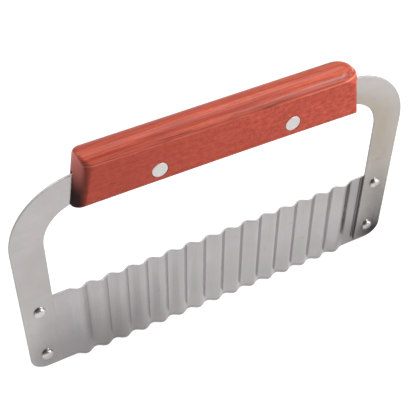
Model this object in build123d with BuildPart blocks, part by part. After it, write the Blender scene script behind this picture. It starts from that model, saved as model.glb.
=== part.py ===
from build123d import *
from math import acos, atan2, degrees, hypot
import os

# Hand-held wavy-blade cutter: a corrugated blade riveted to the legs of a flat U-shaped
# steel bow, with a slotted hardwood grip riveted over the bow's top bar.
# Millimetres. X runs along the blade, Y from front to back, Z up from the cutting edge.

# ---- bow ----
overall_width = 180.0
bow_top = 106.3
leg_foot = 1.8  # the legs stop short of the cutting edge, so that the blade reaches the board
bar_width = 13.7
bow_thickness = 1.0
bow_outer_radius = 31.0
foot_radius = 7.0
bow_edge_round = 0.15

# ---- blade ----
blade_width = 177.0
blade_height = 44.3
blade_thickness = 0.6
blade_corner_radius = 6.0
wave_count = 15
wave_pitch = 9.26
wave_depth = 1.83
wave_bend_radius = 2.95
grind_height = 1.8
grind_taper = 7.0

# ---- grip ----
grip_thickness = 12.4
grip_bottom = 91.7
grip_lower_crease = 94.3
grip_upper_crease = 112.4
grip_top = 116.0
grip_foot_length = 126.8
grip_foot_face_length = 119.4
grip_crown_length = 120.6
grip_crown_face_length = 112.8
grip_crease_round = 0.5
grip_end_round = 0.8
kerf_top = 107.5

# ---- rivets of the blade ----
blade_rivet_reach = 82.6
blade_rivet_heights = {"lower": 9.8, "upper": 38.0}
shank_radius = 1.4
head_radius = 2.6
head_wall = 0.9
head_height = 1.5
tail_radius = 2.2
tail_height = 1.0
hole_clearance = 0.05

# ---- rivets of the grip: a front half with a tube, and a back half with a pin that fills it ----
grip_rivet_reach = 29.3
grip_rivet_height = 99.2
cap_radius = 3.35
cap_thickness = 1.2
tube_radius = 2.3
pin_radius = 1.5
tube_stop = 2.5
pin_stop = -4.0
recess_clearance = 0.1

# ---- places worked out from them ----
bow_front = -bow_thickness / 2
bow_back = bow_thickness / 2
tab_middle = bow_back + blade_thickness / 2
tab_back = bow_back + blade_thickness
grip_front = -grip_thickness / 2
grip_back = grip_thickness / 2
wave_start = -wave_count * wave_pitch / 2
half_cut = overall_width  # half length of a cutting tool that runs right through any piece
sides = {"left": -1, "right": 1}


def wave_bend_angle():
    """Steepest slope of the wave, where two equal bends meet a straight flank, in degrees."""
    across = wave_pitch / 4
    rise = wave_bend_radius - wave_depth / 2
    return degrees(atan2(across, rise) - acos(wave_bend_radius / hypot(across, rise)))


def wave_face(offset):
    """Draw one face of the corrugated sheet, at a distance from its middle, from tab to tab."""
    angle = wave_bend_angle()
    back_radius = wave_bend_radius + offset
    front_radius = wave_bend_radius - offset
    back_y = tab_middle - wave_bend_radius
    front_y = tab_middle - wave_depth + wave_bend_radius
    Line((-blade_width / 2, tab_middle + offset), (wave_start, tab_middle + offset))
    bend = CenterArc((wave_start, back_y), back_radius, 90, -angle)
    for wave in range(wave_count):
        x = wave_start + wave * wave_pitch
        front = CenterArc((x + wave_pitch / 2, front_y), front_radius, 270 - angle, 2 * angle)
        turn = angle if wave == wave_count - 1 else 2 * angle
        back = CenterArc((x + wave_pitch, back_y), back_radius, 90 + angle, -turn)
        Line(bend @ 1, front @ 0)
        Line(front @ 1, back @ 0)
        bend = back
    Line(bend @ 1, (blade_width / 2, tab_middle + offset))


def dome_radius(reach, rise):
    """Radius of the arc that rises from a circle of the given reach to a crown on its axis."""
    return (reach**2 + rise**2) / (2 * rise)


os.makedirs("parts", exist_ok=True)

# ---- bow: a flat bar cut to a U, with two holes in each leg and two in its top bar ----
with BuildPart() as bow_frame:
    with BuildSketch(Plane.XZ):
        with Locations((0, leg_foot)):
            Rectangle(overall_width, bow_top - leg_foot, align=(Align.CENTER, Align.MIN))
        fillet(vertices().group_by(Axis.Y)[-1], radius=bow_outer_radius)
        fillet(vertices().group_by(Axis.Y)[0], radius=foot_radius)
        with BuildSketch(mode=Mode.SUBTRACT):
            Rectangle(overall_width - 2 * bar_width, 2 * (bow_top - bar_width))
            fillet(vertices().group_by(Axis.Y)[-1], radius=bow_outer_radius - bar_width)
    extrude(amount=bow_thickness / 2, both=True)
    broad_faces = faces().filter_by(Axis.Y)
    fillet(broad_faces.edges(), radius=bow_edge_round)
    with BuildSketch(Plane.XZ):
        for side in sides.values():
            for height in blade_rivet_heights.values():
                with Locations((side * blade_rivet_reach, height)):
                    Circle(shank_radius + hole_clearance)
            with Locations((side * grip_rivet_reach, grip_rivet_height)):
                Circle(tube_radius + hole_clearance)
    extrude(amount=half_cut, both=True, mode=Mode.SUBTRACT)
bow_frame.part.label = "bow_frame"
export_step(bow_frame.part, "parts/bow_frame.step")

# ---- blade: thin sheet, flat behind the legs and rolled into waves between them ----
with BuildPart() as wavy_blade:
    with BuildSketch(Plane.XY.offset(grind_height)) as sheet_section:
        with BuildLine():
            wave_face(blade_thickness / 2)
            wave_face(-blade_thickness / 2)
            for side in sides.values():
                Line(
                    (side * blade_width / 2, bow_back),
                    (side * blade_width / 2, tab_back),
                )
        make_face()
    extrude(amount=blade_height - grind_height)
    extrude(sheet_section.sketch, amount=-grind_height, taper=grind_taper)
    with BuildSketch(Plane.XZ):
        with Locations((0, blade_height / 2)):
            RectangleRounded(blade_width, blade_height, blade_corner_radius)
    extrude(amount=half_cut, both=True, mode=Mode.INTERSECT)
    with BuildSketch(Plane.XZ):
        for side in sides.values():
            for height in blade_rivet_heights.values():
                with Locations((side * blade_rivet_reach, height)):
                    Circle(shank_radius + hole_clearance)
    extrude(amount=half_cut, both=True, mode=Mode.SUBTRACT)
wavy_blade.part.label = "wavy_blade"
export_step(wavy_blade.part, "parts/wavy_blade.step")

# ---- grip: one hardwood piece, arched above and below, with bowed and leaning ends and a kerf ----
with BuildPart() as handle:
    with BuildSketch(Plane.YZ):
        with BuildLine():
            Line((grip_front, grip_lower_crease), (grip_front, grip_upper_crease))
            ThreePointArc((grip_front, grip_upper_crease), (0, grip_top), (grip_back, grip_upper_crease))
            Line((grip_back, grip_upper_crease), (grip_back, grip_lower_crease))
            ThreePointArc((grip_back, grip_lower_crease), (0, grip_bottom), (grip_front, grip_lower_crease))
        make_face()
        fillet(vertices(), radius=grip_crease_round)
    extrude(amount=overall_width / 2, both=True)
    levels = {
        grip_bottom: (grip_foot_length / 2, grip_foot_face_length / 2),
        grip_top: (grip_crown_length / 2, grip_crown_face_length / 2),
    }
    for level, (middle_reach, face_reach) in levels.items():
        with BuildSketch(Plane.XY.offset(level)):
            with BuildLine():
                Line((-face_reach, grip_front), (face_reach, grip_front))
                ThreePointArc((face_reach, grip_front), (middle_reach, 0), (face_reach, grip_back))
                Line((face_reach, grip_back), (-face_reach, grip_back))
                ThreePointArc((-face_reach, grip_back), (-middle_reach, 0), (-face_reach, grip_front))
            make_face()
    loft(mode=Mode.INTERSECT)
    for end_face in (faces().sort_by(Axis.X)[0], faces().sort_by(Axis.X)[-1]):
        fillet(end_face.edges(), radius=grip_end_round)
    with BuildSketch(Plane.XZ):
        with Locations((0, grip_bottom)):
            Rectangle(overall_width, kerf_top - grip_bottom, align=(Align.CENTER, Align.MIN))
    extrude(amount=bow_thickness / 2, both=True, mode=Mode.SUBTRACT)
    for face_y, direction in ((grip_front, 1), (grip_back, -1)):
        with BuildSketch(Plane.XZ.offset(-face_y)):
            for side in sides.values():
                with Locations((side * grip_rivet_reach, grip_rivet_height)):
                    Circle(cap_radius + recess_clearance)
        extrude(amount=-direction * cap_thickness, mode=Mode.SUBTRACT)
    with BuildSketch(Plane.XZ):
        for side in sides.values():
            with Locations((side * grip_rivet_reach, grip_rivet_height)):
                Circle(tube_radius + hole_clearance)
    extrude(amount=half_cut, both=True, mode=Mode.SUBTRACT)
handle.part.label = "handle"
export_step(handle.part, "parts/handle.step")

# ---- rivets of the blade: a low domed head in front, a shank, and a clenched tail behind ----
for side_name, side in sides.items():
    for level_name, height in blade_rivet_heights.items():
        rivet_name = f"blade_rivet_{side_name}_{level_name}"
        rivet_plane = Plane(origin=(side * blade_rivet_reach, 0, height), x_dir=(1, 0, 0), z_dir=(0, 0, 1))
        with BuildPart() as blade_rivet:
            with BuildSketch(rivet_plane):
                with BuildLine():
                    Polyline(
                        (0, bow_front - head_height),
                        (0, tab_back + tail_height),
                    )
                    RadiusArc(
                        (0, tab_back + tail_height),
                        (tail_radius, tab_back),
                        dome_radius(tail_radius, tail_height),
                    )
                    Polyline(
                        (tail_radius, tab_back),
                        (shank_radius, tab_back),
                        (shank_radius, bow_front),
                        (head_radius, bow_front),
                        (head_radius, bow_front - head_wall),
                    )
                    RadiusArc(
                        (head_radius, bow_front - head_wall),
                        (0, bow_front - head_height),
                        dome_radius(head_radius, head_height - head_wall),
                    )
                make_face()
            revolve(axis=Axis(rivet_plane.origin, (0, 1, 0)))
        blade_rivet.part.label = rivet_name
        export_step(blade_rivet.part, f"parts/{rivet_name}.step")

# ---- rivets of the grip: flush caps in both faces, joined by a pin inside a tube ----
for side_name, side in sides.items():
    centre = (side * grip_rivet_reach, grip_rivet_height)
    with BuildPart() as front_half:
        with BuildSketch(Plane.XZ.offset(-grip_front)):
            with Locations(centre):
                Circle(cap_radius)
        extrude(amount=-cap_thickness)
        with BuildSketch(Plane.XZ.offset(-grip_front)):
            with Locations(centre):
                Circle(tube_radius)
        extrude(amount=-(tube_stop - grip_front))
        with BuildSketch(Plane.XZ.offset(-tube_stop)):
            with Locations(centre):
                Circle(pin_radius + hole_clearance)
        extrude(amount=tube_stop - pin_stop + cap_thickness / 2, mode=Mode.SUBTRACT)
    front_half.part.label = f"handle_rivet_{side_name}_front"
    export_step(front_half.part, f"parts/handle_rivet_{side_name}_front.step")
    with BuildPart() as back_half:
        with BuildSketch(Plane.XZ.offset(-grip_back)):
            with Locations(centre):
                Circle(cap_radius)
        extrude(amount=cap_thickness)
        with BuildSketch(Plane.XZ.offset(-grip_back)):
            with Locations(centre):
                Circle(pin_radius)
        extrude(amount=grip_back - pin_stop)
    back_half.part.label = f"handle_rivet_{side_name}_back"
    export_step(back_half.part, f"parts/handle_rivet_{side_name}_back.step")
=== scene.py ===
from math import acos, atan2, cos, hypot, pi, radians, sin, sqrt, tan

import bmesh
import bpy
import numpy as np
from mathutils import Matrix, Quaternion, Vector


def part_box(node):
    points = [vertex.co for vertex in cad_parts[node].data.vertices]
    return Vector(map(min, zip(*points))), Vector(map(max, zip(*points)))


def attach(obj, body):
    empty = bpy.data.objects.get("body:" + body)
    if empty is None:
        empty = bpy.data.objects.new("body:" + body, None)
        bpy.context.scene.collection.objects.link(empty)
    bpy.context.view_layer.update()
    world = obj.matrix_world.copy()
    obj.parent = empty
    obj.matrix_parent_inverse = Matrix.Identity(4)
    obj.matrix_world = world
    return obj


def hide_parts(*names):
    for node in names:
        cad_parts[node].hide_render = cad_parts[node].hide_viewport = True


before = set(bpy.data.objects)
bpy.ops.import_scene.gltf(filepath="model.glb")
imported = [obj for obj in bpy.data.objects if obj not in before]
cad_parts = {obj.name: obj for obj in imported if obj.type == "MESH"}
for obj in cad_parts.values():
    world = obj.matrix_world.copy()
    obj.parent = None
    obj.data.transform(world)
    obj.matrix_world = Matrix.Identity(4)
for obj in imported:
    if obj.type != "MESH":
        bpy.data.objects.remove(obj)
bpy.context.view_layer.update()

MM = 0.001

# Wavy cutter in the CAD frame: X along the blade, Y from front to back, Z up from the cutting edge.
# Sizes below are in millimetres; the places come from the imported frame.
bow_low, bow_high = (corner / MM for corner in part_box("bow_frame"))
sheet_low, sheet_high = (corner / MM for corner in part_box("wavy_blade"))
grip_low, grip_high = (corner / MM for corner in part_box("handle"))


def rivet_centre(node):
    """Middle of a rivet's CAD box."""
    low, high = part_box(node)
    return (low + high) / 2 / MM


# ---------------------------------------------------------------- mesh helpers


def mesh_object(name, points, polygons):
    """Object made from points in millimetres and lists of point numbers."""
    mesh = bpy.data.meshes.new(name)
    mesh.from_pydata([Vector(p) * MM for p in points], [], polygons)
    mesh.update()
    piece = bpy.data.objects.new(name, mesh)
    bpy.context.scene.collection.objects.link(piece)
    return piece


def finish_surface(piece, sharp_angle=35):
    """Turn every face outwards and shade smooth, apart from edges sharper than an angle in degrees."""
    bm = bmesh.new()
    bm.from_mesh(piece.data)
    bmesh.ops.remove_doubles(bm, verts=bm.verts, dist=1e-7)
    bmesh.ops.recalc_face_normals(bm, faces=bm.faces)
    for face in bm.faces:
        face.smooth = True
    for edge in bm.edges:
        if len(edge.link_faces) == 2 and edge.calc_face_angle() > radians(sharp_angle):
            edge.smooth = False
    bm.to_mesh(piece.data)
    bm.free()


def arc(centre, radius, start, end, steps):
    """Points of an arc from one angle to another, in degrees, both ends included."""
    angles = [radians(start + (end - start) * k / steps) for k in range(steps + 1)]
    return [(centre[0] + radius * cos(a), centre[1] + radius * sin(a)) for a in angles]


def loops_to_mesh(name, loops):
    """Skin a row of closed loops that have the same number of points, and close both ends."""
    count = len(loops[0])
    points = [p for loop in loops for p in loop]
    polygons = []
    for ring in range(len(loops) - 1):
        for k in range(count):
            after = (k + 1) % count
            a = ring * count
            b = a + count
            polygons.append((a + k, a + after, b + after, b + k))
    polygons.append(list(range(count)))
    polygons.append([len(points) - count + k for k in range(count)])
    return mesh_object(name, points, polygons)


def lathe(name, centre, profile, steps=64):
    """Closed solid turned about a line along Y through the centre, from (radius, y) pairs."""
    x, z = centre
    angles = [2 * pi * k / steps for k in range(steps)]
    loops = [[(x + r * cos(a), y, z + r * sin(a)) for a in angles] for r, y in profile]
    return loops_to_mesh(name, loops)


# ---------------------------------------------------------------- bow

bar_width = 13.7
bow_outer_radius = 31.0
foot_radius = 7.0
inner_foot_radius = 0.4
bow_edge_round = 0.18
half_width = bow_high.x
bow_inner_radius = bow_outer_radius - bar_width
leg_inside = half_width - bar_width


def bow_outline():
    """Outline of the bow in the XZ plane, going round it once from the left foot."""
    shoulder = bow_high.z - bow_outer_radius
    corner = half_width - bow_outer_radius
    foot = bow_low.z
    outer_foot = half_width - foot_radius
    inner_foot = leg_inside + inner_foot_radius
    inner_floor = foot + inner_foot_radius
    return [
        *arc((-inner_foot, inner_floor), inner_foot_radius, 0, -90, 6),
        *arc((-outer_foot, foot + foot_radius), foot_radius, -90, -180, 20),
        *arc((-corner, shoulder), bow_outer_radius, 180, 90, 48),
        *arc((corner, shoulder), bow_outer_radius, 90, 0, 48),
        *arc((outer_foot, foot + foot_radius), foot_radius, 0, -90, 20),
        *arc((inner_foot, inner_floor), inner_foot_radius, -90, -180, 6),
        *arc((corner, shoulder), bow_inner_radius, 0, 90, 36),
        *arc((-corner, shoulder), bow_inner_radius, 90, 180, 36),
    ]


def inward(outline):
    """Unit vectors that point from each outline point into the plate."""
    found = []
    for k in range(len(outline)):
        before = outline[k - 1]
        after = outline[(k + 1) % len(outline)]
        along = Vector((after[0] - before[0], after[1] - before[1])).normalized()
        found.append((along.y, -along.x))
    return found


def make_bow():
    """Flat plate with its edges rounded by the press and the tumbling drum."""
    outline = bow_outline()
    normals = inward(outline)
    steps = 5
    loops = []
    for face_y, way in ((bow_low.y, 1), (bow_high.y, -1)):
        for k in range(steps + 1)[::way]:
            angle = pi / 2 * k / steps
            inset = bow_edge_round * (1 - sin(angle))
            y = face_y + way * bow_edge_round * (1 - cos(angle))
            edges = zip(outline, normals)
            loops.append([(x + nx * inset, y, z + nz * inset) for (x, z), (nx, nz) in edges])
    return loops_to_mesh("bow_plate", loops)


# ---------------------------------------------------------------- blade

wave_count = 15
wave_pitch = 9.26
wave_depth = 1.83
wave_bend_radius = 2.95
last_flank_stretch = 1.22
blade_thickness = 0.6
blade_corner_radius = 6.0
grind_height = 1.8
grind_angle = 7.0
top_edge_round = 0.12
tolerance = 1e-6


def stretch_last_flank(line, tab_start):
    """Draw out the slope from the last crest up to the right tab, in place of some of the tab."""
    last_crest = tab_start - wave_pitch / 2
    new_start = last_crest + wave_pitch / 2 * last_flank_stretch
    least_gap = 0.2
    stretched = []
    for x, y, nx, ny in line:
        if last_crest < x <= tab_start + tolerance:
            x = last_crest + (x - last_crest) * last_flank_stretch
        if x <= new_start or x > new_start + least_gap:
            stretched.append((x, y, nx, ny))
    return stretched


def sheet_line():
    """Points (x, y, nx, ny) of the sheet's middle line, from the left tab to the right one."""
    half = sheet_high.x
    tab_middle = sheet_high.y - blade_thickness / 2
    across = wave_pitch / 4
    rise = wave_bend_radius - wave_depth / 2
    angle = atan2(across, rise) - acos(wave_bend_radius / hypot(across, rise))
    start = -wave_count * wave_pitch / 2
    back_y = tab_middle - wave_bend_radius
    front_y = tab_middle - wave_depth + wave_bend_radius
    bend_steps = 8
    corner_steps = 24
    corner_end = blade_corner_radius * 1.02
    tab_points = 8
    line = []
    for k in range(corner_steps + 1):
        x = -half + corner_end * (1 - cos(pi / 2 * k / corner_steps))
        line.append((x, tab_middle, 0, 1))
    for x in np.linspace(line[-1][0], start, tab_points)[1:-1]:
        line.append((x, tab_middle, 0, 1))

    def bend(x, y, way, first, last):
        """Points of a bend whose surface normal leans from one angle to another, along X."""
        for k in range(bend_steps + 1):
            lean = first + (last - first) * k / bend_steps
            shift = way * wave_bend_radius
            line.append((x + shift * sin(lean), y + shift * cos(lean), sin(lean), cos(lean)))

    for wave in range(wave_count):
        x = start + wave * wave_pitch
        bend(x, back_y, 1, 0 if wave == 0 else -angle, angle)
        bend(x + wave_pitch / 2, front_y, -1, angle, -angle)
    bend(-start, back_y, 1, -angle, 0)
    mirrored = [(-x, y, -nx, ny) for x, y, nx, ny in line if x < start - tolerance]
    return stretch_last_flank(line + mirrored[::-1], -start)


def corner_lift(x):
    """How far the rounded corners raise the sheet's lower edge at x."""
    past = abs(x) - (sheet_high.x - blade_corner_radius)
    if past <= 0:
        return 0.0
    return blade_corner_radius - sqrt(max(blade_corner_radius**2 - past**2, 0))


def make_blade():
    """Rolled sheet with a ground edge below and a lightly broken edge above."""
    rows = 14
    round_steps = 3
    least_grind = 0.02
    loops = []
    for x, y, nx, ny in sheet_line():
        lift = corner_lift(x)
        low = sheet_low.z + lift
        high = sheet_high.z - lift
        half = blade_thickness / 2
        taper = tan(radians(grind_angle))
        levels = [(low, half - (grind_height - lift) * taper if lift < grind_height else half)]
        grind_line = max(sheet_low.z + grind_height, low + least_grind)
        levels.append((grind_line, half))
        for z in np.linspace(grind_line, high - top_edge_round, rows)[1:]:
            levels.append((float(z), half))
        for k in range(1, round_steps + 1):
            turn = pi / 2 * k / round_steps
            drop = top_edge_round * (1 - sin(turn))
            levels.append((high - drop, half - top_edge_round * (1 - cos(turn))))
        front = [(x - nx * h, y - ny * h, z) for z, h in levels]
        back = [(x + nx * h, y + ny * h, z) for z, h in reversed(levels)]
        loops.append(front + back)
    return loops_to_mesh("blade_sheet", loops)


# ---------------------------------------------------------------- grip

half_thickness = grip_high.y
left_end = -61.0
length_between_ends = 122.0
back_creases = (94.0, 112.6)
upper_crease = 111.3  # in front at the right end; it climbs by the next value towards the left end
upper_crease_climb = 1.1
lower_crease = 94.0  # in front at the left end; it drops by the next value towards the right end
lower_crease_drop = 1.5
crease_round = 0.45
side_end_round = 0.5
crown_end_rounds = (1.5, 7.0)  # left and right
# The crown's end rounding starts this far below the crease, and builds up over this height.
front_blend = (2.5, 3.5)
back_blend = (8.0, 9.5)
kerf_half_width = 0.55
kerf_top = 107.5
cap_radius = 3.35
cap_thickness = 1.2
recess_clearance = 0.12
left_reach = {"foot": (64.1, 60.7), "crown": (60.3, 55.0)}  # at the middle and at the faces
right_reach = {"foot": (62.9, 60.8), "crown": (60.2, 56.5)}


def creases(x, y):
    """Heights of the lower and upper crease; hand sanding left the front ones not quite level."""
    share = np.clip((x - left_end) / length_between_ends, 0, 1)
    lower = np.where(y < 0, lower_crease - lower_crease_drop * share**2, back_creases[0])
    upper = np.where(y < 0, upper_crease + upper_crease_climb * (1 - share) ** 2, back_creases[1])
    return lower, upper


def arch_radius(rise):
    """Radius of the arc from crease to crease over the grip's thickness."""
    return (half_thickness**2 + rise**2) / (2 * rise)


def rounded_meeting(a, b, radius):
    """Distance outside two surfaces at once, with a round edge where they meet."""
    outside = np.hypot(np.maximum(a + radius, 0), np.maximum(b + radius, 0)) - radius
    return np.where((a > -radius) & (b > -radius), outside, np.maximum(a, b))


def section_distance(x, y, z):
    """Distance outside the grip's section: two flat sides, an arch above and a shallow one below."""
    lower, upper = creases(x, y)
    top_radius = arch_radius(grip_high.z - upper)
    low_radius = arch_radius(lower - grip_low.z)
    top_centre = grip_high.z - top_radius
    low_centre = grip_low.z + low_radius
    side = np.abs(y) - half_thickness
    above = np.where(z > top_centre, np.hypot(y, z - top_centre), np.abs(y)) - top_radius
    below = np.where(z < low_centre, np.hypot(y, z - low_centre), np.abs(y)) - low_radius
    return rounded_meeting(rounded_meeting(side, above, crease_round), below, crease_round * 2)


def end_distance(x, y, z):
    """Distance outside the bowed and leaning ends, measured along the grip."""
    share = (z - grip_low.z) / (grip_high.z - grip_low.z)
    reach = {}
    for level in ("foot", "crown"):
        pairs = zip(left_reach[level], right_reach[level])
        reach[level] = [np.where(x < 0, left, right) for left, right in pairs]
    middle = reach["foot"][0] + share * (reach["crown"][0] - reach["foot"][0])
    face = reach["foot"][1] + share * (reach["crown"][1] - reach["foot"][1])
    bow = middle - face
    radius = (half_thickness**2 + bow**2) / (2 * bow)
    return np.abs(x) - (middle - radius) - np.sqrt(np.maximum(radius**2 - y**2, 0))


def grip_distance(x, y, z):
    """Distance outside the whole grip, with its crown sanded rounder than its other edges."""
    towards_back = np.clip((y / half_thickness + 1) / 2, 0, 1)
    crease = upper_crease + towards_back * (back_creases[1] - upper_crease)
    behind = np.clip(y / half_thickness, 0, 1)
    below, span = (f + (b - f) * behind for f, b in zip(front_blend, back_blend))
    blend = np.clip((z - crease + below) / span, 0, 1)
    crown_round = np.where(x < 0, *crown_end_rounds)
    radius = side_end_round + (crown_round - side_end_round) * blend * blend * (3 - 2 * blend)
    return rounded_meeting(section_distance(x, y, z), end_distance(x, y, z), radius)


def make_grip():
    """Skin of rings: straight ones along the grip, and fanned ones that close over each end."""
    centre_z = (grip_low.z + grip_high.z) / 2
    turns = np.linspace(0, 2 * pi, 480, endpoint=False)
    fan_start = 50.0
    fan_steps = 110
    straight_rings = 61
    farthest = 30.0
    halvings = 40
    rings = [(x, 0.0) for x in np.linspace(-fan_start, fan_start, straight_rings)]
    fans = [radians(90) * k / fan_steps for k in range(1, fan_steps)]
    rings = [(-fan_start, -a) for a in reversed(fans)] + rings + [(fan_start, a) for a in fans]
    loops = []
    for x, lean in rings:
        way = (sin(lean), cos(lean) * np.cos(turns), cos(lean) * np.sin(turns))
        near = np.zeros(turns.shape)
        far = np.full(turns.shape, farthest)
        for _ in range(halvings):
            reach = (near + far) / 2
            inside = grip_distance(x + reach * way[0], reach * way[1], centre_z + reach * way[2]) < 0
            near = np.where(inside, reach, near)
            far = np.where(inside, far, reach)
        loops.append(list(zip(x + near * way[0], near * way[1], centre_z + near * way[2])))
    return loops_to_mesh("grip_body", loops)


def cut_grip(grip):
    """Saw the kerf and sink the recesses of the rivet caps."""
    cutter = bmesh.new()
    saw_length = 200
    saw_bottom = grip_low.z - 10
    place = Matrix.Translation(Vector((0, 0, (kerf_top + saw_bottom) / 2)) * MM)
    size = Vector((saw_length, 2 * kerf_half_width, kerf_top - saw_bottom)) * MM
    bmesh.ops.create_cube(cutter, size=1, matrix=place @ Matrix.Diagonal((*size, 1)))
    for node in cap_nodes:
        middle = rivet_centre(node)
        face = -half_thickness if middle.y < 0 else half_thickness
        place = Matrix.Translation(Vector((middle.x, face, middle.z)) * MM)
        radius = (cap_radius + recess_clearance) * MM
        bmesh.ops.create_cone(
            cutter,
            cap_ends=True,
            segments=72,
            radius1=radius,
            radius2=radius,
            depth=2 * cap_thickness * MM,
            matrix=place @ Matrix.Rotation(pi / 2, 4, "X"),
        )
    mesh = bpy.data.meshes.new("grip_cutter")
    cutter.to_mesh(mesh)
    cutter.free()
    tool = bpy.data.objects.new("grip_cutter", mesh)
    bpy.context.scene.collection.objects.link(tool)
    cut = grip.modifiers.new("cut", "BOOLEAN")
    cut.operation = "DIFFERENCE"
    cut.solver = "EXACT"
    cut.object = tool
    result = bpy.data.meshes.new_from_object(grip.evaluated_get(bpy.context.evaluated_depsgraph_get()))
    grip.modifiers.clear()
    grip.data = result
    bpy.data.objects.remove(tool)


# ---------------------------------------------------------------- rivets

blade_rivets = [name for name in sorted(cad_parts) if name.startswith("blade_rivet")]
cap_nodes = [name for name in sorted(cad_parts) if name.startswith("handle_rivet")]

head_radius = 2.6
head_wall = 0.35
head_height = 1.5
head_foot = [(2.54, 0.05), (2.46, 0)]  # the head narrows a little where it meets the leg
shank_radius = 1.4
tail_radius = 2.2
tail_wall = 0.1
tail_height = 1.0
cap_broken_edge = (0.75, 0.26)  # across the cap's face and down its side
tube_radius = 2.3
tube_stop = 2.5
pin_radius = 1.5
pin_stop = -4.0
axis_gap = 0.01  # every profile starts and ends this close to its axis


def dome(reach, rise, fullness, steps=14):
    """Profile (radius, height) from the crown to the rim; a fullness of 2 makes an ellipse."""
    turns = [pi / 2 * k / steps for k in range(steps + 1)]
    power = 2 / fullness
    return [(max(reach * sin(a) ** power, axis_gap), rise * max(cos(a), 0) ** power) for a in turns]


def make_blade_rivet(node):
    """Solid rivet: a low domed head in front of the leg and a clenched tail behind the sheet."""
    middle = rivet_centre(node)
    head = bow_low.y
    tail = sheet_high.y
    head_dome = dome(head_radius, head_height - head_wall, fullness=2.3)
    tail_dome = dome(tail_radius, tail_height - tail_wall, fullness=2)
    profile = [(r, head - head_wall - h) for r, h in head_dome]
    profile += [(r, head - h) for r, h in head_foot]
    profile += [(shank_radius, head), (shank_radius, tail), (tail_radius - tail_wall, tail)]
    profile += [(r, tail + tail_wall + h) for r, h in reversed(tail_dome)]
    return lathe(node.replace("blade_rivet", "sheet_rivet"), (middle.x, middle.z), profile)


def make_cap(node):
    """Flush cap of a cutler's rivet, with a broken edge and its shank."""
    middle = rivet_centre(node)
    front = middle.y < 0
    face = -half_thickness if front else half_thickness
    inwards = 1 if front else -1
    shank, stop = (tube_radius, tube_stop) if front else (pin_radius, pin_stop)
    across, down = cap_broken_edge
    flat = cap_radius - across
    profile = [(axis_gap, face), (flat / 2, face)]
    edge = dome(across, down, fullness=3, steps=10)
    profile += [(flat + r, face + inwards * (down - h)) for r, h in edge]
    under = face + inwards * cap_thickness
    profile += [(cap_radius, under), (shank, under), (shank, stop), (axis_gap, stop)]
    return lathe(node.replace("handle_rivet", "grip_cap"), (middle.x, middle.z), profile)


# ---------------------------------------------------------------- finishes


def feed(tree, socket, value):
    """Give an input a number, a colour or a vector, or link another node's output to it."""
    if isinstance(value, bpy.types.NodeSocket):
        tree.links.new(value, socket)
    else:
        socket.default_value = value


class Finish:
    """A material and short calls for the nodes that the finishes below are made of."""

    def __init__(self, name, **values):
        self.material = bpy.data.materials.new(name)
        self.material.use_nodes = True
        self.tree = self.material.node_tree
        self.shader = self.tree.nodes["Principled BSDF"]
        for socket, value in values.items():
            self.shader.inputs[socket.replace("_", " ")].default_value = value

    def node(self, kind, settings=None, **inputs):
        """New node; an input is a number, a colour, a vector or another node's output."""
        made = self.tree.nodes.new("ShaderNode" + kind)
        for name, value in (settings or {}).items():
            setattr(made, name, value)
        for name, value in inputs.items():
            feed(self.tree, made.inputs[name.replace("_", " ")], value)
        return made

    def position(self):
        """X, Y and Z of the place on the object, in metres."""
        return self.node("SeparateXYZ", Vector=self.node("TexCoord").outputs["Object"]).outputs

    def facing(self):
        """X, Y and Z of the surface's normal."""
        return self.node("SeparateXYZ", Vector=self.node("NewGeometry").outputs["Normal"]).outputs

    def noise(self, scale, detail=2.0, roughness=0.5, distortion=0.0):
        """Noise over the object, with a number of features per metre along each axis."""
        position = self.node("TexCoord").outputs["Object"]
        return self.node(
            "TexNoise",
            Vector=self.node("Mapping", Vector=position, Scale=scale).outputs["Vector"],
            Scale=1.0,
            Detail=detail,
            Roughness=roughness,
            Distortion=distortion,
        ).outputs["Fac"]

    def spread(self, value, low, high, new_low, new_high, smooth=False):
        """Map a range of values to another, clamped."""
        settings = {"interpolation_type": "SMOOTHSTEP"} if smooth else {}
        limits = {"From_Min": low, "From_Max": high, "To_Min": new_low, "To_Max": new_high}
        return self.node("MapRange", settings, Value=value, **limits).outputs["Result"]

    def maths(self, operation, first, second):
        """Result of a sum, difference or other operation on two values."""
        made = self.node("Math", {"operation": operation})
        for socket, value in zip(made.inputs, (first, second)):
            feed(self.tree, socket, value)
        return made.outputs["Value"]

    def product(self, first, *others):
        """All the values multiplied."""
        for value in others:
            first = self.maths("MULTIPLY", first, value)
        return first

    def mix(self, share, first, second):
        """Mix of two colours; a share of 1 gives the second."""
        made = self.node("Mix", {"data_type": "RGBA"})
        for identifier, value in (("Factor_Float", share), ("A_Color", first), ("B_Color", second)):
            socket = next(s for s in made.inputs if s.identifier == identifier)
            feed(self.tree, socket, value)
        return next(s for s in made.outputs if s.identifier == "Result_Color")

    def bump(self, height, strength, distance, before=None):
        """Normal of a small relief, on top of an earlier one."""
        made = self.node("Bump", Height=height, Strength=strength, Distance=distance)
        if before is not None:
            self.tree.links.new(before, made.inputs["Normal"])
        return made.outputs["Normal"]

    def wire(self, **inputs):
        """Link outputs to the shader's inputs."""
        for name, value in inputs.items():
            self.tree.links.new(value, self.shader.inputs[name.replace("_", " ")])
        return self.material


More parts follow.
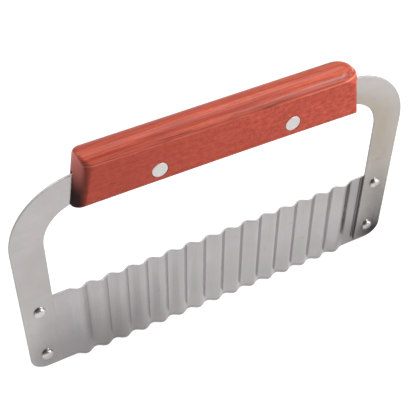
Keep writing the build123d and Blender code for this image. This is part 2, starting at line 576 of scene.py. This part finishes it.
def painted_leg_shade_strip(finish, inner, outer, foot):
    """Share and tone of painted shade: a dark strip on the front face, between two X values and above a
    height.
    """
    place = finish.position()
    soft_edge = 0.15
    hard_edge = 0.5
    foot_fade = 1
    inset = 0.3
    share = finish.product(
        finish.spread(place["X"], (inner - soft_edge) * MM, (inner + soft_edge) * MM, 0, 1, smooth=True),
        finish.spread(place["X"], outer * MM, (outer + hard_edge) * MM, 1, 0),
        finish.spread(place["Z"], foot * MM, (foot + foot_fade) * MM, 0, 1),
        finish.spread(finish.facing()["Y"], -0.9, -0.8, 1, 0),
    )
    across = finish.spread(place["X"], (inner + inset) * MM, (outer - inset) * MM, 0, 1)
    return share, finish.mix(across, (0.10, 0.094, 0.092, 1), (0.27, 0.25, 0.245, 1))


def steel(name, light, dark, grain, roughness=(0.17, 0.24), lined=0.2, painted_leg_shade=None):
    """Satin rolled stainless sheet: cloudy tone, fine rolling lines and faint handling marks.

    The rolling lines darken the tone by a share, lined. Two X values and a height, the last argument,
    mark a strip of the front face with painted shade: the leg's shade next to it, painted into the tone.
    """
    finish = Finish(name, Metallic=1.0)
    clouds = finish.noise((45, 45, 45), detail=3, roughness=0.55)
    lines = finish.noise(grain, detail=3, roughness=0.6)
    marks = finish.noise((260, 260, 170), detail=4, roughness=0.65, distortion=0.4)
    tone = finish.mix(finish.spread(clouds, 0.32, 0.68, 0, 1, smooth=True), light, dark)
    tone = finish.mix(finish.spread(lines, 0.38, 0.68, 0, lined), tone, dark)
    darkest = (*(channel * 0.6 for channel in dark[:3]), 1)
    tone = finish.mix(finish.spread(marks, 0.62, 0.8, 0, 0.35), tone, darkest)
    # painted shade of the leg, mixed into the tone
    if painted_leg_shade is not None:
        share, shade = painted_leg_shade_strip(finish, *painted_leg_shade)
        tone = finish.mix(share, tone, shade)
    rubbed = finish.spread(marks, 0.5, 0.8, 0, 0.08)
    worn = finish.maths("ADD", finish.spread(lines, 0.3, 0.7, *roughness), rubbed)
    relief = finish.bump(lines, 0.10, 0.00003)
    relief = finish.bump(clouds, 0.10, 0.0006, relief)
    return finish.wire(Base_Color=tone, Roughness=worn, Normal=relief)


def pressed_metal(name, light, dark, roughness):
    """Small pressed part: darker specks, an uneven polish and shallow dents."""
    finish = Finish(name, Metallic=1.0)
    dents = finish.noise((700, 700, 700), detail=2)
    grit = finish.noise((2600, 2600, 2600), detail=3, roughness=0.6)
    tone = finish.mix(finish.spread(grit, 0.4, 0.75, 0, 1), light, dark)
    worn = finish.spread(grit, 0.3, 0.7, roughness - 0.06, roughness + 0.08)
    relief = finish.bump(grit, 0.15, 0.00003)
    relief = finish.bump(dents, 0.35, 0.0002, relief)
    return finish.wire(Base_Color=tone, Roughness=worn, Normal=relief)


def stained_wood():
    """Red-brown stained hardwood under thin lacquer, with its grain along the grip.

    The sanded sides are matt and finely mottled, the arched crown is smoother with long dark
    streaks, the end grain takes the stain darker, and it is rubbed thin along the creases. Painted
    shade darkens the tone towards the left, the left end's rim and the end grain's foot, and painted
    light brightens the end grain's top.
    """
    finish = Finish("stained_hardwood", Specular_IOR_Level=0.16, Coat_Roughness=0.30)
    light = (0.60, 0.106, 0.066, 1)
    middle = (0.37, 0.056, 0.034, 1)
    dark = (0.17, 0.020, 0.012, 1)
    rubbed = (0.62, 0.20, 0.14, 1)
    crown_tint = (0.45, 0.075, 0.018, 1)
    # painted shade: the left end's rim and the end grain's foot; painted light: the end grain's top
    left_rim_painted_shade = (0.09, 0.022, 0.018, 1)
    end_grain_painted_shade = (0.034, 0.011, 0.011, 1)
    end_grain_painted_light = (0.76, 0.22, 0.185, 1)
    figure = finish.noise((20, 420, 420), detail=4, roughness=0.65, distortion=0.35)
    streaks = finish.noise((34, 1050, 1050), detail=4, roughness=0.65, distortion=0.3)
    mottle = finish.noise((420, 520, 520), detail=5, roughness=0.75)
    blush = finish.noise((40, 90, 90), detail=2)
    hairs = finish.noise((30, 1900, 1900), detail=3, roughness=0.7)
    pores = finish.noise((260, 2200, 2200), detail=2, roughness=0.5)
    place = finish.position()

    # where it is: how far to the left, how far above the crease between side and crown
    from_right = finish.spread(place["X"], left_end * MM, -left_end * MM, 1, 0)
    climb = finish.product(from_right, from_right, upper_crease_climb * MM)
    front_crease = finish.maths("ADD", climb, upper_crease * MM)
    behind = finish.spread(place["Y"], -0.0005, 0.0005, 0, 1)
    step_up = finish.product(behind, finish.maths("SUBTRACT", back_creases[1] * MM, front_crease))
    above_front_crease = finish.maths("SUBTRACT", place["Z"], front_crease)
    above_crease = finish.maths("SUBTRACT", above_front_crease, step_up)
    crown = finish.spread(above_crease, -0.0002, 0.0002, 0, 1, smooth=True)
    side = finish.spread(crown, 0, 1, 1, 0)

    # stain: the sides' mottle and a yellower crown; painted shade deepens the tone towards the left
    tone = finish.mix(finish.spread(mottle, 0.36, 0.64, 0, 1), light, middle)
    tone = finish.mix(finish.spread(blush, 0.35, 0.7, 0, 0.35), tone, middle)
    # painted shade: the tone darkens towards the left end, away from the light
    tone = finish.mix(finish.product(from_right, 0.72), tone, middle)
    tint = finish.product(crown, finish.spread(from_right, 0.3, 1, 0.55, 0.3))
    tone = finish.mix(tint, tone, crown_tint)

    # grain: broad figure, streaks that are strongest along the crease, fine hairs and pores
    tone = finish.mix(finish.product(crown, finish.spread(figure, 0.42, 0.56, 0, 0.9)), tone, middle)
    streaked = finish.product(
        finish.spread(streaks, 0.49, 0.60, 0, 0.85),
        finish.spread(above_crease, 0.0016, 0.0034, 1, 0.45),
        finish.spread(crown, 0, 1, 0.16, 1),
    )
    tone = finish.mix(streaked, tone, dark)
    tone = finish.mix(finish.product(crown, finish.spread(hairs, 0.50, 0.62, 0, 0.55)), tone, dark)
    tone = finish.mix(finish.spread(pores, 0.58, 0.76, 0, 0.5), tone, dark)

    # wear along the crease
    wear = finish.product(
        finish.spread(above_crease, -0.00045, -0.0001, 0, 1, smooth=True),
        finish.spread(above_crease, 0.0001, 0.00035, 1, 0, smooth=True),
        finish.spread(blush, 0.38, 0.56, 0.1, 0.75),
    )
    tone = finish.mix(wear, tone, rubbed)

    # ends: end grain darker than the sides, painted shade on the left end's rim and low in the end
    # grain, and painted light high in the end grain
    along = finish.facing()["X"]
    rim = finish.product(
        finish.spread(finish.product(along, -1), 0.12, 0.42, 0, 0.55, smooth=True),
        finish.spread(above_crease, 0.0, 0.0028, 1, 0.45),
    )
    tone = finish.mix(rim, tone, left_rim_painted_shade)
    end_share = finish.spread(finish.maths("ABSOLUTE", along, 0), 0.50, 0.80, 0, 1, smooth=True)
    upwards = finish.spread(place["Z"], 0.0975, 0.1128, 0, 1, smooth=True)
    tone = finish.mix(end_share, tone, finish.mix(upwards, end_grain_painted_shade, end_grain_painted_light))

    worn = finish.maths("ADD", finish.spread(mottle, 0.3, 0.7, 0.40, 0.48), finish.product(side, 0.18))
    coat = finish.product(crown, 0.22)
    relief = finish.bump(pores, 0.2, 0.00005)
    relief = finish.bump(streaks, 0.3, 0.00010, relief)
    relief = finish.bump(mottle, 0.2, 0.00015, relief)
    return finish.wire(Base_Color=tone, Roughness=worn, Normal=relief, Coat_Weight=coat)


# ---------------------------------------------------------------- the object

bow_finish = steel("bow_stainless", (0.42, 0.40, 0.395, 1), (0.38, 0.36, 0.35, 1), (60, 900, 900))
blade_finish = steel(
    "blade_stainless",
    (0.41, 0.393, 0.394, 1),
    (0.37, 0.356, 0.357, 1),
    (900, 900, 60),
    lined=0.55,
    # painted shade beside the right leg's inner edge
    painted_leg_shade=(leg_inside - 2.0, leg_inside, bow_low.z + 2.2),
)
ground_finish = steel("ground_edge", (0.36, 0.34, 0.335, 1), (0.30, 0.285, 0.28, 1), (2600, 2600, 120))
cut_finish = steel(
    "cut_edge",
    (0.44, 0.425, 0.42, 1),
    (0.34, 0.33, 0.325, 1),
    (900, 900, 900),
    roughness=(0.5, 0.62),
)
rivet_finish = pressed_metal("rivet_stainless", (0.58, 0.56, 0.55, 1), (0.40, 0.385, 0.375, 1), 0.33)
cap_finish = pressed_metal("cap_aluminium", (0.60, 0.585, 0.575, 1), (0.46, 0.445, 0.435, 1), 0.42)
wood_finish = stained_wood()


def dress(piece, slot, nodes, *finishes):
    """Give a piece its finishes and its place in the frame."""
    for finish in finishes:
        piece.data.materials.append(finish)
    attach(piece, "root")
    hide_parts(*nodes)


flat_enough = 0.97  # a normal's share along Y on the bow's broad faces
top_facing = 0.2  # a normal's share along Z on the sheet's upper edge
end_facing = 0.9  # a normal's share along X on the sheet's ends

bow = make_bow()
finish_surface(bow)
dress(bow, "bow_steel", ["bow_frame"], bow_finish, cut_finish)
for face in bow.data.polygons:
    if abs(face.normal.y) < flat_enough:
        face.material_index = 1

blade = make_blade()
finish_surface(blade, sharp_angle=4)
dress(blade, "blade_steel", ["wavy_blade"], blade_finish, ground_finish, cut_finish)
for face in blade.data.polygons:
    if face.center.z < (sheet_low.z + grind_height) * MM:
        face.material_index = 1
    elif face.normal.z > top_facing or abs(face.normal.x) > end_facing:
        face.material_index = 2

grip = make_grip()
cut_grip(grip)
finish_surface(grip, sharp_angle=40)
dress(grip, "grip_wood", ["handle"], wood_finish)

for node in blade_rivets:
    rivet = make_blade_rivet(node)
    finish_surface(rivet)
    dress(rivet, "rivet_steel", [node], rivet_finish)

for node in cap_nodes:
    cap = make_cap(node)
    finish_surface(cap)
    dress(cap, "rivet_aluminium", [node], cap_finish)

# ---------------------------------------------------------------- floor, light and camera

floor_finish = Finish(
    "pale_floor",
    Base_Color=(0.28, 0.28, 0.28, 1),
    Roughness=0.9,
    Specular_IOR_Level=0.0,
    Emission_Color=(1, 1, 1, 1),
    Emission_Strength=0.84,
)


def stage_plane(name, low, high, height, finish):
    """Level rectangle of the stage between two corners, in millimetres."""
    corners = [(low[0], low[1]), (high[0], low[1]), (high[0], high[1]), (low[0], high[1])]
    plane = mesh_object(name, [(x, y, height) for x, y in corners], [(0, 1, 2, 3)])
    plane.data.materials.append(finish.material)
    return plane


floor = stage_plane("floor", (-6000, -6000), (6000, 6000), 0, floor_finish)
floor.visible_diffuse = False


def studio_gel(name, centre, size, height, shade):
    """Round gel on the floor that only reflections see, darkest in its middle and clear at its rim."""
    finish = Finish(name)
    x, y = centre
    half_length, half_width = size
    steps = 48
    turns = [2 * pi * k / steps for k in range(steps)]
    points = [(x + half_length * cos(a), y + half_width * sin(a), height) for a in turns]
    gel = mesh_object(name, points, [list(range(steps))])
    position = finish.node("TexCoord").outputs["Object"]
    away = finish.node("Mapping", Vector=position, Location=(-x * MM, -y * MM, 0)).outputs["Vector"]
    share = finish.node("VectorMath", {"operation": "MULTIPLY"}, Vector=away)
    share.inputs[1].default_value = (1 / half_length / MM, 1 / half_width / MM, 0)
    reach = finish.node("VectorMath", {"operation": "LENGTH"}, Vector=share.outputs["Vector"])
    clear = finish.spread(reach.outputs["Value"], 0, 1, 0, 1)
    tone = finish.mix(clear, (*shade, 1), (1, 1, 1, 1))
    filter_shader = finish.node("BsdfTransparent", Color=tone)
    output = finish.tree.nodes["Material Output"]
    finish.tree.links.new(filter_shader.outputs["BSDF"], output.inputs["Surface"])
    gel.data.materials.append(finish.material)
    gel.visible_camera = False
    gel.visible_shadow = False
    gel.visible_diffuse = False


# Centre, half sizes and height in millimetres, and the tint in the middle. The gels lie where the
# steel mirrors the floor, and give it the dark and warm patches of the photo.
studio_gel("low_gel", (113, -0.7), (64, 15), 0.3, (0.14, 0.12, 0.12))
studio_gel("right_gel", (112, -9.8), (40, 34), 0.5, (0.42, 0.41, 0.40))
studio_gel("foot_gel", (90, -2.6), (14, 6.5), 0.9, (0.12, 0.09, 0.09))
studio_gel("warm_gel", (133, -74), (60, 66), 0.7, (0.86, 0.78, 0.63))
studio_gel("left_gel", (-52, -2), (44, 30), 0.5, (0.55, 0.54, 0.54))
studio_gel("left_foot_gel", (-83, -4), (20, 12), 0.9, (0.79, 0.80, 0.82))
studio_gel("back_gel", (0, 140), (300, 90), 0.5, (0.10, 0.08, 0.08))
studio_gel("front_gel", (250, -650), (700, 450), 0.5, (0.20, 0.18, 0.17))


def soft_light(name, place, aim, size, power):
    """White square area light at a place in millimetres, turned towards a point."""
    data = bpy.data.lights.new(name, "AREA")
    data.shape = "SQUARE"
    data.size = size * MM
    data.energy = power
    lamp = bpy.data.objects.new(name, data)
    lamp.location = Vector(place) * MM
    lamp.rotation_euler = (Vector(aim) - Vector(place)).to_track_quat("-Z", "Y").to_euler()
    bpy.context.scene.collection.objects.link(lamp)
    return lamp


middle = (0, 0, 60)
soft_light("key", (520, -480, 420), middle, size=320, power=6)
front_light = soft_light("front", (200, -900, 350), middle, size=600, power=2)
front_light.visible_glossy = False
soft_light("top", (400, 150, 1080), middle, size=600, power=6.3)
soft_light("back", (-350, 300, 800), middle, size=350, power=3)


def make_world(ambient, mirrored, darkest, dark_side):
    """White room: plain white behind the object, a dim light, and in reflections darker on one side."""
    world = bpy.data.worlds.new("studio")
    world.use_nodes = True
    tree = world.node_tree

    def chosen_by(switch, first, second):
        """First or second number, picked by an output that is 0 or 1."""
        made = tree.nodes.new("ShaderNodeMix")
        tree.links.new(switch, made.inputs["Factor"])
        feed(tree, made.inputs["A"], first)
        feed(tree, made.inputs["B"], second)
        return made.outputs["Result"]

    towards = tree.nodes.new("ShaderNodeVectorMath")
    towards.operation = "DOT_PRODUCT"
    tree.links.new(tree.nodes.new("ShaderNodeTexCoord").outputs["Generated"], towards.inputs[0])
    towards.inputs[1].default_value = Vector(dark_side).normalized()
    darkness = tree.nodes.new("ShaderNodeMapRange")
    darkness.interpolation_type = "SMOOTHSTEP"
    tree.links.new(towards.outputs["Value"], darkness.inputs["Value"])
    limits = {"From Min": 0.35, "From Max": 0.75, "To Min": mirrored, "To Max": darkest}
    for name, number in limits.items():
        darkness.inputs[name].default_value = number
    ray = tree.nodes.new("ShaderNodeLightPath")
    strength = chosen_by(ray.outputs["Is Glossy Ray"], ambient, darkness.outputs["Result"])
    strength = chosen_by(ray.outputs["Is Camera Ray"], strength, 1.0)
    background = tree.nodes["Background"]
    background.inputs["Color"].default_value = (1, 1, 1, 1)
    tree.links.new(strength, background.inputs["Strength"])
    return world


bpy.context.scene.world = make_world(0.25, mirrored=0.8, darkest=0.06, dark_side=(-0.25, -0.9, 0.35))

# Camera fitted to the photo by the bow's legs and corner arcs, the rivets and the wave lines.
camera_data = bpy.data.cameras.new("camera")
camera_data.lens = 81.35
camera = bpy.data.objects.new("camera", camera_data)
camera_place = Vector((-137.10, -240.44, 340.99)) * MM
camera_aim = Vector((-5.18, 0.0, 62.10)) * MM
camera_roll = radians(0.934)
camera.location = camera_place
view_turn = (camera_aim - camera_place).to_track_quat("-Z", "Y")
camera.rotation_mode = "QUATERNION"
camera.rotation_quaternion = view_turn @ Quaternion((0, 0, 1), camera_roll)
bpy.context.scene.collection.objects.link(camera)
bpy.context.scene.camera = camera
bpy.context.scene.view_settings.view_transform = "Standard"
